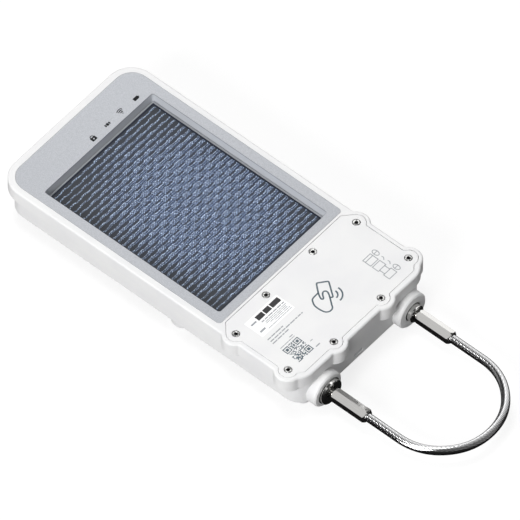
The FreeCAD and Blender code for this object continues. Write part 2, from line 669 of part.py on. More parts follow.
def make_plug():
    x = -SOCKET_X
    ring_y = SOCKET_FACE_Y - RING_PROUD
    flange_back = ring_y - FLANGE_LIFT
    flange_front = flange_back - FLANGE_T
    groove = PIN_R - GROOVE_DEPTH
    y0, y1 = GROOVE_Y - GROOVE_W / 2, GROOVE_Y + GROOVE_W / 2
    plug = turned(x, (
        (SLEEVE_FRONT_Y, 0), (SLEEVE_FRONT_Y, NECK_R), (flange_front, NECK_R), (flange_front, FLANGE_R - FLANGE_EDGE),
        (flange_front + FLANGE_EDGE, FLANGE_R), (flange_back, FLANGE_R), (flange_back, PIN_R),
        (y0, PIN_R), (y0, groove), (y1, groove), (y1, PIN_R), (PIN_TIP_Y - PIN_TIP_CHAMFER, PIN_R),
        (PIN_TIP_Y, PIN_R - PIN_TIP_CHAMFER), (PIN_TIP_Y, 0)))
    put("locking_plug", plug)
    bore = PIN_R + PIN_CLEAR
    ring = rod(x, SOCKET_Z, RING_R, ring_y, RING_BACK_Y)
    seal_y = RING_BACK_Y - SEAL_RING_BACK
    seal_r = PIN_R + SEAL_RING_CLEAR
    seal_out = seal_r + 1.3
    ring = ring.makeChamfer(0.3, edges_facing(ring, ring_y))
    ring = ring.cut([rod(x, SOCKET_Z, bore, ring_y, RING_BACK_Y), rod(x, SOCKET_Z, seal_out, seal_y, RING_BACK_Y)])
    put("plug_guide_ring", ring)
    seal = rod(x, SOCKET_Z, seal_out, seal_y, RING_BACK_Y)
    put("plug_seal", seal.cut(rod(x, SOCKET_Z, seal_r, seal_y, RING_BACK_Y)))
    barrel = rod(x, SOCKET_Z, BARREL_R, RING_BACK_Y, BARREL_BACK_Y)
    gate = box(x + 2, x + BARREL_R + 1, BOLT_Y - BOLT_W / 2 - BOLT_CLEAR, BOLT_Y + BOLT_W / 2 + BOLT_CLEAR,
               BOLT_FLOOR_Z - BOLT_CLEAR, SOCKET_Z + BOLT_H / 2 + BOLT_CLEAR)
    put("plug_barrel", barrel.cut([rod(x, SOCKET_Z, bore, RING_BACK_Y, BARREL_BACK_Y), gate]))
    sensor_y = SOCKET_BACK_Y + 0.3
    put("plug_sensor", box(x - 5, x + 5, sensor_y, sensor_y + 5, FLOOR_Z, SOCKET_Z + 4))


def sleeve(x):
    """A hexagonal crimped sleeve with turned ends and a blind bore for the rope."""
    corner_r = SLEEVE_FLATS / math.sqrt(3)
    flat_r = SLEEVE_FLATS / 2
    prism = hex_prism(x, SOCKET_Z, SLEEVE_FLATS, SLEEVE_MOUTH_Y, SLEEVE_FRONT_Y, SLEEVE_TURN)
    limit = turned(x, (
        (SLEEVE_MOUTH_Y, 0), (SLEEVE_MOUTH_Y, flat_r - 0.25), (SLEEVE_MOUTH_Y + SLEEVE_CHAMFER, corner_r + 0.02),
        (SLEEVE_FRONT_Y - SLEEVE_CHAMFER, corner_r + 0.02), (SLEEVE_FRONT_Y, flat_r - 0.25), (SLEEVE_FRONT_Y, 0)))
    bore = rod(x, SOCKET_Z, ROPE_R + ROPE_CLEAR, SLEEVE_MOUTH_Y - 1, ROPE_END_Y)
    return prism.common(limit).cut(bore)


def make_swivel():
    x = SOCKET_X
    washer_front = SOCKET_FACE_Y - WASHER_PROUD
    washer_back = washer_front + WASHER_T
    running = SWIVEL_R + SWIVEL_CLEAR
    washer = rod(x, SOCKET_Z, WASHER_R, washer_front, washer_back)
    washer = washer.makeChamfer(0.25, edges_facing(washer, washer_front))
    put("swivel_washer", washer.cut(rod(x, SOCKET_Z, running, washer_front, washer_back)))
    seal_back = washer_back + LIP_SEAL_L
    seal = rod(x, SOCKET_Z, BUSH_R, washer_back, seal_back)
    put("swivel_seal", seal.cut(rod(x, SOCKET_Z, running, washer_back, seal_back)))
    bush = rod(x, SOCKET_Z, BUSH_R, seal_back, BUSH_BACK_Y)
    put("swivel_bush", bush.cut(rod(x, SOCKET_Z, running, seal_back, BUSH_BACK_Y)))
    collar_front = SOCKET_FACE_Y - COLLAR_PROUD
    collar_back = washer_front - COLLAR_LIFT
    clip_y = BUSH_BACK_Y + CLIP_LIFT
    put("swivel_pin", turned(x, (
        (SLEEVE_FRONT_Y, 0), (SLEEVE_FRONT_Y, NECK_R), (collar_front, NECK_R),
        (collar_front, COLLAR_R - COLLAR_EDGE), (collar_front + COLLAR_EDGE, COLLAR_R),
        (collar_back, COLLAR_R), (collar_back, SWIVEL_R), (clip_y, SWIVEL_R), (clip_y, CLIP_INNER_R),
        (clip_y + CLIP_T, CLIP_INNER_R), (clip_y + CLIP_T, SWIVEL_R), (SWIVEL_TIP_Y, SWIVEL_R), (SWIVEL_TIP_Y, 0))))
    clip = rod(x, SOCKET_Z, CLIP_R, clip_y, clip_y + CLIP_T)
    clip = clip.cut(rod(x, SOCKET_Z, CLIP_INNER_R, clip_y, clip_y + CLIP_T))
    gap = box(x - 1.6, x + 1.6, clip_y - 1, clip_y + 2, SOCKET_Z, SOCKET_Z + CLIP_R + 1)
    put("retaining_clip", clip.cut(gap))
    put("fixed_sleeve", sleeve(x))
    put("plug_sleeve", sleeve(-x))


def make_rope():
    """Straight runs joined by tangent arcs, in the plane of the socket axes."""
    points = [V(x, y, SOCKET_Z) for x, y in ROPE_ROUTE]
    edges = []
    radii = []
    start = points[0]
    for before, corner, after in zip(points, points[1:], points[2:]):
        back = (before - corner).normalize()
        on = (after - corner).normalize()
        turn = math.pi - back.getAngle(on)
        shorter = min((before - corner).Length, (after - corner).Length)
        radius = 0.45 * shorter / math.tan(turn / 2)
        reach = 0.45 * shorter
        enter = corner + back * reach
        leave = corner + on * reach
        centre = corner + (back + on).normalize() * (radius / math.cos(turn / 2))
        middle = centre + (corner - centre).normalize() * radius
        edges.append(Part.makeLine(start, enter))
        edges.append(Part.Arc(enter, middle, leave).toShape())
        radii.append(round(radius, 2))
        start = leave
    edges.append(Part.makeLine(start, points[-1]))
    path = Part.Wire(edges)
    ring = Part.Wire(Part.makeCircle(ROPE_R, points[0], V(0, 1, 0)))
    rope = path.makePipeShell([ring], True, False)
    length = sum(edge.Length for edge in edges)
    print("rope: radii", radii, "length", round(length, 2), "volume / section x length",
          round(rope.Volume / (math.pi * ROPE_R ** 2 * length), 5))
    put("wire_rope", rope)


def involute_angle(r, base_r):
    t = math.sqrt(max((r / base_r) ** 2 - 1, 0))
    return t - math.atan(t)


def pinion_blank():
    """Involute pinion about Y, with a tooth pointing straight down at the rack."""
    base_r = PITCH_R * math.cos(math.radians(PRESSURE_ANGLE))
    root_r = PITCH_R - GEAR_ROOT
    tip_r = PITCH_R + PINION_TIP
    half_tooth = (math.pi * GEAR_MODULE / 2 - GEAR_BACKLASH) / (2 * PITCH_R)
    at_pitch = involute_angle(PITCH_R, base_r)
    steps = 5
    flank = []
    for k in range(steps + 1):
        r = base_r + (tip_r - base_r) * k / steps
        flank.append((r, half_tooth + at_pitch - involute_angle(r, base_r)))
    points = []
    for tooth in range(PINION_TEETH):
        middle = -math.pi / 2 + 2 * math.pi * tooth / PINION_TEETH
        side = [(root_r, flank[0][1])] + flank
        for r, a in side:
            points.append((r, middle - a))
        for r, a in reversed(side):
            points.append((r, middle + a))
    y0 = BOLT_Y - PINION_W / 2
    corners = [V(PINION_X + r * math.cos(a), y0, PINION_Z + r * math.sin(a)) for r, a in points]
    return Part.Face(Part.makePolygon(corners + corners[:1])).extrude(V(0, PINION_W, 0))


def rack_bar():
    """The bolt: a bar with a rounded nose and rack teeth on its tail."""
    y0, y1 = BOLT_Y - BOLT_W / 2, BOLT_Y + BOLT_W / 2
    top = SOCKET_Z + BOLT_H / 2
    root_z = RACK_PITCH_Z - GEAR_ROOT
    tip_z = RACK_PITCH_Z + RACK_TIP
    bar = box(BOLT_NOSE_X, BOLT_TAIL_X, y0, y1, BOLT_FLOOR_Z, top)
    nose = [e for e in bar.Edges if abs(e.BoundBox.XMax - BOLT_NOSE_X) < 1e-4]
    bar = bar.makeChamfer(0.5, [e for e in nose if e.BoundBox.YLength > 1])
    bar = bar.fuse(box(RACK_FROM_X, BOLT_TAIL_X, y0, y1, top - 0.5, root_z))
    pitch = math.pi * GEAR_MODULE
    slope = math.tan(math.radians(PRESSURE_ANGLE))
    half = (pitch / 2 - GEAR_BACKLASH) / 2
    low_half = half + slope * GEAR_ROOT
    tip_half = half - slope * RACK_TIP
    teeth = []
    x = PINION_X - pitch / 2
    while x - low_half > RACK_FROM_X:
        x -= pitch
    x += pitch
    while x + low_half < BOLT_TAIL_X:
        corners = [V(x - low_half, y0, root_z), V(x + low_half, y0, root_z),
                   V(x + tip_half, y0, tip_z), V(x - tip_half, y0, tip_z)]
        teeth.append(Part.Face(Part.makePolygon(corners + corners[:1])).extrude(V(0, BOLT_W, 0)))
        x += pitch
    return bar.fuse(teeth).removeSplitter()


def make_lock():
    put("lock_bolt", rack_bar())
    shaft_front = BOLT_Y - PINION_W / 2 - 0.4
    shaft = rod(PINION_X, PINION_Z, SHAFT_R, shaft_front, MOTOR_FRONT_Y + SHAFT_L)
    put("drive_pinion", pinion_blank().fuse(shaft))
    x0, x1 = PINION_X - MOTOR_W / 2, PINION_X + MOTOR_W / 2
    z0, z1 = PINION_Z - MOTOR_H / 2, PINION_Z + MOTOR_H / 2
    gearbox_end = MOTOR_FRONT_Y + GEARBOX_L
    body = box(x0, x1, MOTOR_FRONT_Y, gearbox_end, z0, z1)
    can = rod(PINION_X, PINION_Z, MOTOR_W / 2, gearbox_end, gearbox_end + MOTOR_L)
    can = can.common(box(x0 - 1, x1 + 1, MOTOR_FRONT_Y, gearbox_end + MOTOR_L + 1, z0, z1))
    bore = rod(PINION_X, PINION_Z, SHAFT_R + SWIVEL_CLEAR, MOTOR_FRONT_Y - 1, MOTOR_FRONT_Y + SHAFT_L + 0.5)
    put("gear_motor", body.fuse(can).cut(bore))
    y0 = MOTOR_FRONT_Y + 1
    saddle = box(x0 - SADDLE_W, x1 + SADDLE_W, y0, y0 + SADDLE_L, FLOOR_Z, PINION_Z)
    put("motor_bracket", saddle.cut(box(x0, x1, y0 - 1, y0 + SADDLE_L + 1, z0, PINION_Z + 1)))
    x0 = -SOCKET_X + SOCKET_R + 0.6
    half = BOLT_W / 2 + BOLT_CLEAR
    wall = half + GUIDE_WALL
    guide = box(x0, BOLT_TAIL_X - 2, BOLT_Y - wall, BOLT_Y + wall, FLOOR_Z, SOCKET_Z + 1)
    channel = box(x0 - 1, BOLT_TAIL_X, BOLT_Y - half, BOLT_Y + half, BOLT_FLOOR_Z - BOLT_CLEAR, SOCKET_Z + 2)
    put("bolt_guide", guide.cut(channel))


def port_shape(w, h, y0, y1):
    """An oblong along Y."""
    flat = (w - h) / 2
    middle = box(PORT_X - flat, PORT_X + flat, y0, y1, PORT_Z - h / 2, PORT_Z + h / 2)
    return middle.fuse([rod(PORT_X + side * flat, PORT_Z, h / 2, y0, y1) for side in (1, -1)]).removeSplitter()


def make_port():
    front = END_Y + LOWER_END_INSET + PORT_SINK
    gap = 2 * PORT_PLUG_GAP
    plug = port_shape(PORT_W - gap, PORT_H - gap, front, front + PORT_PLUG_L)
    put("port_plug", plug)
    inner = END_Y + LOWER_END_INSET + LOWER_WALL + 1.2
    half = PORT_SHELL_W / 2
    shell = box(PORT_X - half, PORT_X + half, inner, inner + PORT_SHELL_L, FLOOR_Z, PORT_Z + 1.7)
    mouth = box(PORT_X - half + 0.5, PORT_X + half - 0.5, inner - 1, inner + PORT_SHELL_L - 1.5,
                PORT_Z - 1.2, PORT_Z + 1.2)
    put("charge_socket", shell.cut(mouth))


def board(limits, z, holes):
    bores = [post(x, y, BOARD_SCREW_R + CLEAR, z, z + BOARD_T) for x, y in holes]
    return plate(*limits, z, z + BOARD_T, 2.0).cut(bores)


def make_electronics():
    top = MAIN_BOARD_Z + BOARD_T
    main = board(MAIN_BOARD, MAIN_BOARD_Z, board_posts(MAIN_BOARD))
    columns = [post(x, y, CASE_COLUMN_R + 0.6, MAIN_BOARD_Z, top) for x, y in both_sides(CASE_SCREWS[:1])]
    put("main_board", main.cut(columns))
    put("lock_board", board(LOCK_BOARD, LOCK_BOARD_Z, board_posts(LOCK_BOARD)))
    put("position_antenna", box(*POSITION_ANTENNA, top, BAND_Z + 3.4))
    put("radio_antenna", box(*RADIO_ANTENNA, top, top + CHIP_T))
    put("radio_module", plate(*RADIO_MODULE, top, top + MODULE_T, 0.5))
    put("processor", plate(*PROCESSOR, top, top + CHIP_T, 0.3))
    buzzer = post(*BUZZER_AT, BUZZER_R, top, top + BUZZER_T)
    put("buzzer", buzzer.cut(post(*BUZZER_AT, 1.0, top + 1.5, top + BUZZER_T)))
    lock_top = LOCK_BOARD_Z + BOARD_T
    x0, x1, y0, y1 = SIM_HOLDER
    slot = box(x0 - 1, x1 - 1.4, y0 + 1, y1 - 1, lock_top + 0.6, lock_top + 1.5)
    put("sim_holder", box(*SIM_HOLDER, lock_top, lock_top + SIM_HOLDER_T).cut(slot))
    put("terminal_block", box(*TERMINAL_BLOCK, lock_top, lock_top + TERMINAL_BLOCK_T))
    put("solar_contacts", *[post(x, CONTACT_Y, CONTACT_R, top, PANEL_SEAT_Z) for x in contact_xs()])


def make_battery():
    x0, x1, y0, y1 = BATTERY
    z1 = FLOOR_Z + BATTERY_T
    middle = (y0 + y1) / 2
    gap = BATTERY_GAP / 2
    halves = ((y0, middle - gap), (middle + gap, y1))
    put("battery_cells", *[plate(x0, x1, a, b, FLOOR_Z, z1, BATTERY_R) for a, b in halves])
    straps = []
    reach = x1 + 2 * POST_R + 0.6
    for y in STRAP_YS:
        strap = plate(-reach, reach, y - STRAP_W / 2, y + STRAP_W / 2, z1, z1 + STRAP_T, 2.0)
        bores = [post(x, at, BOARD_SCREW_R + CLEAR, z1, z1 + STRAP_T) for x, at in strap_posts() if at == y]
        straps.append(strap.cut(bores))
    put("battery_straps", *straps)


def small_screw(x, y, seat_z):
    head = post(x, y, BOARD_SCREW_HEAD_R, seat_z, seat_z + BOARD_SCREW_HEAD_H)
    return head.fuse(post(x, y, BOARD_SCREW_R, seat_z - BOARD_SCREW_L, seat_z))


def make_board_screws():
    screws = [small_screw(x, y, MAIN_BOARD_Z + BOARD_T) for x, y in board_posts(MAIN_BOARD)]
    screws += [small_screw(x, y, LOCK_BOARD_Z + BOARD_T) for x, y in board_posts(LOCK_BOARD)]
    put("board_screws", *screws)
    put("strap_screws", *[small_screw(x, y, FLOOR_Z + BATTERY_T + STRAP_T) for x, y in strap_posts()])


def main():
    make_upper_casing()
    make_lower_casing()
    make_bezel()
    make_solar_panel()
    make_light_guides()
    make_cover()
    make_feet()
    make_case_fasteners()
    make_plug()
    make_swivel()
    make_rope()
    make_lock()
    make_port()
    make_electronics()
    make_battery()
    make_board_screws()
    os.makedirs("parts", exist_ok=True)
    for name, solids in parts.items():
        shape = solids[0] if len(solids) == 1 else Part.makeCompound(solids)
        if not shape.isValid() or any(s.Volume <= 0 for s in shape.Solids) or not shape.Solids:
            print("not a valid solid:", name)
        shape.exportStep("parts/" + name + ".step")
    print(len(parts), "nodes")


main()
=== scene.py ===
# %% [markdown]
# # A solar cable lock, finished in Blender
# The lock lies on its back with its face up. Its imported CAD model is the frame: every casing, bolt, gear and
# screw already has its true size and place. This lesson adds what CAD leaves plain: the stranded steel rope,
# the embossed solar glass, the printed marks, and a finish for every surface.

# %% Load the frame
import json
import math
import random

import bmesh
import bpy
from mathutils import Matrix, Vector


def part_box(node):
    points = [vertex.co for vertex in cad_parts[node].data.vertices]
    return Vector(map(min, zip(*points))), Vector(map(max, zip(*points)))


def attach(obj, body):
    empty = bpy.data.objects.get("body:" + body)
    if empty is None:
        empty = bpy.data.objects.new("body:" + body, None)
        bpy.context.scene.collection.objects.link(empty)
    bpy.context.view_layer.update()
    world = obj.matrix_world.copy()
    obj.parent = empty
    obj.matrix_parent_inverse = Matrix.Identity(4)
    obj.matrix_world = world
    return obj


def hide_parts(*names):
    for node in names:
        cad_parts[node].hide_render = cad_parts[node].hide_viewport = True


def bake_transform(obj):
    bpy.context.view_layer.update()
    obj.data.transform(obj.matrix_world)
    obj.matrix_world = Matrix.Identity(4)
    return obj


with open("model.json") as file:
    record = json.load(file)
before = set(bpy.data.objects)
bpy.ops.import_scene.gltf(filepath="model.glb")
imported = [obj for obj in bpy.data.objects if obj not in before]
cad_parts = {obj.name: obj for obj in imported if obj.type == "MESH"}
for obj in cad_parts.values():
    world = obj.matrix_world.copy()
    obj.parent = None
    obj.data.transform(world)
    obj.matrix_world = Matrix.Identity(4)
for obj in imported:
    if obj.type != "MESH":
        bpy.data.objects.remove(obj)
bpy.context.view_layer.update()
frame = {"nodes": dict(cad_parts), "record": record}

MM = 0.001
nodes = frame["nodes"]
slot_of = {part["node"]: part["material_slot"] for part in frame["record"]["subparts"]}
print(len(nodes), "CAD nodes,", len(set(slot_of.values())), "material slots")

# %% [markdown]
# ## The camera
# A long lens far away keeps parallel edges nearly parallel, as in a catalogue picture. The camera stands
# over the plug corner of the cable end and looks down at the face. An orthographic camera would do as
# well, but a real lens keeps a trace of perspective and works with every view of the model.

# %% Camera
AZIMUTH, ELEVATION = math.radians(-49.27), math.radians(52.70)
LOOK_AT = Vector((6.07, -29.50, 17.5)) * MM
DISTANCE = 13.0

back = Vector((math.sin(AZIMUTH) * math.cos(ELEVATION), -math.cos(AZIMUTH) * math.cos(ELEVATION),
               math.sin(ELEVATION)))
camera = bpy.data.objects.new("camera", bpy.data.cameras.new("camera"))
camera.data.lens = 1500
camera.data.sensor_width = 36
camera.data.clip_start = 1
camera.data.clip_end = 100
camera.location = LOOK_AT + back * DISTANCE
camera.rotation_mode = "QUATERNION"
camera.rotation_quaternion = (-back).to_track_quat("-Z", "Y")
bpy.context.scene.collection.objects.link(camera)
bpy.context.scene.camera = camera
print("camera at", [round(c, 2) for c in camera.location])

# %% [markdown]
# ## Making pieces
# A piece is a mesh whose place is in its vertices, so its object stays at the origin, and it rides on one
# body of the frame. `piece` turns a finished bmesh into such an object, and `smooth_line` asks Blender for
# the points along a NURBS spline, which serves the rope as well as the rounded strokes of the prints.

# %% Helpers for pieces and lines
def piece(name, bm, body="casing", smooth=False):
    """A finished bmesh becomes an object at the origin that rides on a body of the frame."""
    for face in bm.faces:
        face.smooth = smooth
    mesh = bpy.data.meshes.new(name)
    bm.to_mesh(mesh)
    bm.free()
    made = bpy.data.objects.new(name, mesh)
    bpy.context.scene.collection.objects.link(made)
    if body:
        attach(made, body)
    print(name, "has", len(mesh.polygons), "faces")
    return made


def smooth_line(points, closed=False, resolution=12):
    """Points along a NURBS spline of order 3 that has these control points."""
    curve = bpy.data.curves.new("line", "CURVE")
    curve.dimensions = "3D"
    spline = curve.splines.new("NURBS")
    spline.points.add(len(points) - 1)
    for point, place in zip(spline.points, points):
        point.co = (*place, 1)
    spline.order_u = 3
    spline.use_endpoint_u = not closed
    spline.use_cyclic_u = closed
    spline.resolution_u = resolution
    holder = bpy.data.objects.new("line", curve)
    mesh = bpy.data.meshes.new_from_object(holder)
    line = [v.co.copy() for v in mesh.vertices]
    bpy.data.objects.remove(holder)
    bpy.data.curves.remove(curve)
    bpy.data.meshes.remove(mesh)
    return line


# %% [markdown]
# ## The wire rope
# The real rope is steel wires laid in a helix round a core. A plain tube would look like a bent rod. Each
# wire here is a curve with a round bevel that winds along the rope's own spline, turned into a mesh. The
# wires are thicker than their spacing, so they bite into each other and leave the shallow grooves of a
# compacted rope. In the lock the rope stays fixed at the swivel and follows the plug when that is pulled
# out, so it bends; here it is one fixed piece that rides on no body.

# %% Route of the rope
ROPE_R = 2.85 * MM
ROPE_Z = 13.3
ROPE_ROUTE = [
    (38.8, -133.0), (38.8, -161.13), (38.8, -193.27), (16.07, -216.0),
    (-16.07, -216.0), (-38.8, -193.27), (-38.8, -161.13), (-38.8, -133.0),
]
rope_line = smooth_line([(x * MM, y * MM, ROPE_Z * MM) for x, y in ROPE_ROUTE], resolution=20)
rope_length = sum((b - a).length for a, b in zip(rope_line, rope_line[1:]))
print("rope length", round(rope_length, 4), "m from", len(rope_line), "points")

# %% Wires of the rope
WIRES = 16
WIRE_R = 1.1 * MM
LAY = 42 * MM


def tube(bm, line, radius, sides):
    """A closed round tube along a line, added to a bmesh."""
    curve = bpy.data.curves.new("tube", "CURVE")
    curve.dimensions = "3D"
    curve.bevel_depth = radius
    curve.bevel_resolution = sides // 2 - 2
    curve.use_fill_caps = True
    spline = curve.splines.new("POLY")
    spline.points.add(len(line) - 1)
    for point, place in zip(spline.points, line):
        point.co = (*place, 1)
    holder = bpy.data.objects.new("tube", curve)
    mesh = bpy.data.meshes.new_from_object(holder)
    bm.from_mesh(mesh)
    bpy.data.objects.remove(holder)
    bpy.data.curves.remove(curve)
    bpy.data.meshes.remove(mesh)


bm = bmesh.new()
for wire in range(WIRES):
    path, along = [], 0.0
    for i, place in enumerate(rope_line):
        ahead = (rope_line[min(i + 1, len(rope_line) - 1)] - rope_line[max(i - 1, 0)]).normalized()
        side = Vector((0, 0, 1)).cross(ahead)
        along += (place - rope_line[i - 1]).length if i else 0
        turn = math.tau * (wire / WIRES + along / LAY)
        path.append(place + (side * math.cos(turn) + Vector((0, 0, math.sin(turn)))) * (ROPE_R - WIRE_R))
    tube(bm, path, WIRE_R, 20)
bmesh.ops.remove_doubles(bm, verts=bm.verts, dist=1e-7)
bmesh.ops.recalc_face_normals(bm, faces=bm.faces)
rope = piece("wire_rope_wires", bm, body=None, smooth=True)
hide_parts("wire_rope")
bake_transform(rope)

# %% [markdown]
# ## Floor and light
# A white lock on a white ground needs light that still draws its edges. A large soft light on the plug side
# makes the long side glow and leaves the cable end in shade. A smaller one overhead lifts the face, and a
# faint third one stands where the face mirrors it, for the sheen of the bezel and the glass. The sky is not
# even: it has a bright patch, a dark ring round it and a pale band, because polished steel shows nothing
# but its surroundings. The floor looks white, but throws back little light, as white paper far below a
# raised object would, and it is clear from below, so that the underside can be seen.

# %% Colours given as on a screen
def tone(r, g, b, a=1.0):
    """A colour from its screen values, 0 to 255, as linear light."""
    def linear(v):
        v /= 255
        return v / 12.92 if v <= 0.04045 else ((v + 0.055) / 1.055) ** 2.4
    return (linear(r), linear(g), linear(b), a)


# %% Soft lights
def soft_light(name, direction, distance, width, height, watts):
    light = bpy.data.lights.new(name, "AREA")
    light.shape = "RECTANGLE"
    light.size = width
    light.size_y = height
    light.energy = watts
    lamp = bpy.data.objects.new(name, light)
    towards = Vector(direction).normalized()
    lamp.location = Vector((0, -0.04, 0.02)) + towards * distance
    lamp.rotation_mode = "QUATERNION"
    lamp.rotation_quaternion = towards.to_track_quat("Z", "Y")
    bpy.context.scene.collection.objects.link(lamp)
    return lamp


soft_light("key", (-0.88, -0.12, 0.46), 2.8, 1.4, 1.4, 76)
soft_light("top", (-0.05, 0.10, 0.99), 2.4, 0.6, 0.6, 14.5)
soft_light("sheen", (0.4515, 0.534, 0.7154), 0.80, 0.2, 0.2, 0.45)
print(len(bpy.data.lights), "lights")

# %% Sky
BRIGHT_SIDE = Vector((0.80, 0.40, 0.40)).normalized()
SKY = (  # place, from 0 away from the bright side to 1 at its middle, and level
    (0.30, 0.04), (0.46, 0.18), (0.53, 0.70), (0.60, 0.70),
    (0.63, 0.07), (0.87, 0.07), (0.90, 1.6), (1.0, 1.6),
)

world = bpy.data.worlds.new("studio")
bpy.context.scene.world = world
world.use_nodes = True
sky = world.node_tree
direction = sky.nodes.new("ShaderNodeTexCoord")
towards = sky.nodes.new("ShaderNodeVectorMath")
towards.operation = "DOT_PRODUCT"
towards.inputs[1].default_value = BRIGHT_SIDE
glow = sky.nodes.new("ShaderNodeValToRGB")
stops = glow.color_ramp.elements
stops[0].position, stops[0].color = SKY[0][0], (*[SKY[0][1]] * 3, 1)
stops[1].position, stops[1].color = SKY[-1][0], (*[SKY[-1][1]] * 3, 1)
for place, level in SKY[1:-1]:
    stops.new(place).color = (level, level, level, 1)
half_turned = sky.nodes.new("ShaderNodeMapRange")
half_turned.inputs["From Min"].default_value = -1
sky.links.new(direction.outputs["Generated"], towards.inputs[0])
sky.links.new(towards.outputs["Value"], half_turned.inputs["Value"])
sky.links.new(half_turned.outputs[0], glow.inputs["Fac"])
sky.links.new(glow.outputs["Color"], sky.nodes["Background"].inputs["Color"])
bpy.context.scene.view_settings.view_transform = "Standard"
print("sky with", len(SKY), "stops")

# %% Floor
FLOOR_R = 40
SEEN, SEEN_GLOW = 0.22, 0.80       # to the camera: nearly white, with faint shadows
THROWN = 0.34                      # to soft light
MIRRORED = 0.012                   # to reflections: dark near the lock
GLOW_FROM, GLOW_TO = 0.25, 1.2     # metres along the bright side over which the mirrored floor lights up

bm = bmesh.new()
bmesh.ops.create_circle(bm, cap_ends=True, radius=FLOOR_R, segments=64)
mesh = bpy.data.meshes.new("floor")
bm.to_mesh(mesh)
bm.free()
floor = bpy.data.objects.new("floor", mesh)
bpy.context.scene.collection.objects.link(floor)
paper = bpy.data.materials.new("floor_paper")
paper.use_nodes = True
tree = paper.node_tree
tree.nodes.remove(tree.nodes["Principled BSDF"])


def add(kind, **values):
    """A node of the floor's material, with the values of its sockets."""
    made = tree.nodes.new("ShaderNode" + kind)
    for socket, value in values.items():
        made.inputs[socket.replace("_", " ")].default_value = value
    return made


def join(source, target, socket=0):
    tree.links.new(source.outputs[0], target.inputs[socket])


def grey(level):
    return add("BsdfDiffuse", Color=(level, level, level, 1))


def mixed(factor, first, second):
    """The first shader where the factor is 0, the second where it is 1."""
    mix = add("MixShader")
    tree.links.new(factor, mix.inputs[0])
    join(first, mix, 1)
    join(second, mix, 2)
    return mix


def summed(first, second):
    both = add("AddShader")
    join(first, both, 0)
    join(second, both, 1)
    return both


across, far_glow = add("VectorMath"), add("Emission")
far = add("MapRange", From_Min=GLOW_FROM, From_Max=GLOW_TO)
across.operation = "DOT_PRODUCT"
across.inputs[1].default_value = BRIGHT_SIDE
tree.links.new(add("TexCoord").outputs["Object"], across.inputs[0])
tree.links.new(across.outputs["Value"], far.inputs[0])
join(far, far_glow, "Strength")
ray = add("LightPath")
in_mirror = mixed(ray.outputs["Is Glossy Ray"], grey(THROWN), summed(grey(MIRRORED), far_glow))
white = summed(grey(SEEN), add("Emission", Strength=SEEN_GLOW))
from_above = mixed(ray.outputs["Is Camera Ray"], in_mirror, white)
join(mixed(add("NewGeometry").outputs["Backfacing"], from_above, add("BsdfTransparent")),
     tree.nodes["Material Output"])
mesh.materials.append(paper)
print("floor", 2 * FLOOR_R, "m across")

# %% [markdown]
# ## Shader maths as Python
# Procedural finishes are sums of waves, noise and masks. Wiring Math nodes by hand hides the formula, so
# `Link` wraps a socket and gives it Python's operators, each of which adds one Math node. `Finish` holds a
# material: its `node` method adds any other node, and constants go straight on the shader's own sockets.

# %% Link
class Link:
    """A socket with Python's operators."""

    def __init__(self, finish, socket):
        self.finish = finish
        self.socket = socket

    def math(self, operation, *values):
        return self.finish.node("Math", {"operation": operation}, dict(enumerate(values)))

    def __add__(self, other):
        return self.math("ADD", self, other)

    def __sub__(self, other):
        return self.math("SUBTRACT", self, other)

    def __rsub__(self, other):
        return self.math("SUBTRACT", other, self)

    def __mul__(self, other):
        return self.math("MULTIPLY", self, other)

    def __truediv__(self, other):
        return self.math("DIVIDE", self, other)

    __radd__ = __add__
    __rmul__ = __mul__

    def fract(self):
        return self.math("FRACT", self)

    def floor(self):
        return self.math("FLOOR", self)

    def abs(self):
        return self.math("ABSOLUTE", self)

    def sin(self):
        """The sine of this many turns."""
        return self.math("SINE", self * math.tau)

    def clamp(self, low, high):
        return self.math("MINIMUM", self.math("MAXIMUM", self, low), high)

    def fade(self, start, end):
        """0 at start and 1 at end, with a smooth step between."""
        settings = {"interpolation_type": "SMOOTHSTEP"}
        return self.finish.node("MapRange", settings, {0: self, 1: start, 2: end})


# %% Finish
class Finish:
    """A procedural material."""

    def __init__(self, name, **constants):
        self.material = bpy.data.materials.new(name)
        self.material.use_nodes = True
        self.tree = self.material.node_tree
        self.shader = self.tree.nodes["Principled BSDF"]
        self.place = self.node("TexCoord", {}, {}, "Object")
        for socket, value in constants.items():
            self.shader.inputs[socket.replace("_", " ")].default_value = value

    def node(self, kind, settings, inputs, out=0):
        made = self.tree.nodes.new("ShaderNode" + kind)
        for name, value in settings.items():
            setattr(made, name, value)
        for name, value in inputs.items():
            if isinstance(value, Link):
                self.tree.links.new(value.socket, made.inputs[name])
            else:
                made.inputs[name].default_value = value
        return Link(self, made.outputs[out])

    def axis(self, name):
        """One object coordinate, in millimetres."""
        return self.node("SeparateXYZ", {}, {0: self.place}, name.upper()) * 1000

    def noise(self, size, detail=2, stretch=(1, 1, 1)):
        """Noise with features of about this size in millimetres, stretched along the axes."""
        scale = [1 / (size * MM * s) for s in stretch]
        scaled = self.node("Mapping", {}, {"Vector": self.place, "Scale": scale})
        return self.node("TexNoise", {}, {"Vector": scaled, "Scale": 1.0, "Detail": detail})

    def blend(self, factor, first, second):
        """A colour between two colours."""
        return self.node("Mix", {"data_type": "RGBA"}, {0: factor, 6: first, 7: second}, 2)

    def feed(self, socket, value):
        self.tree.links.new(value.socket, self.shader.inputs[socket])

    def relief(self, height, depth):
        """Bumps from a height of 0 to 1 that stand for this many millimetres."""
        self.feed("Normal", self.node("Bump", {}, {"Height": height, "Distance": depth * MM}))


finishes = {}


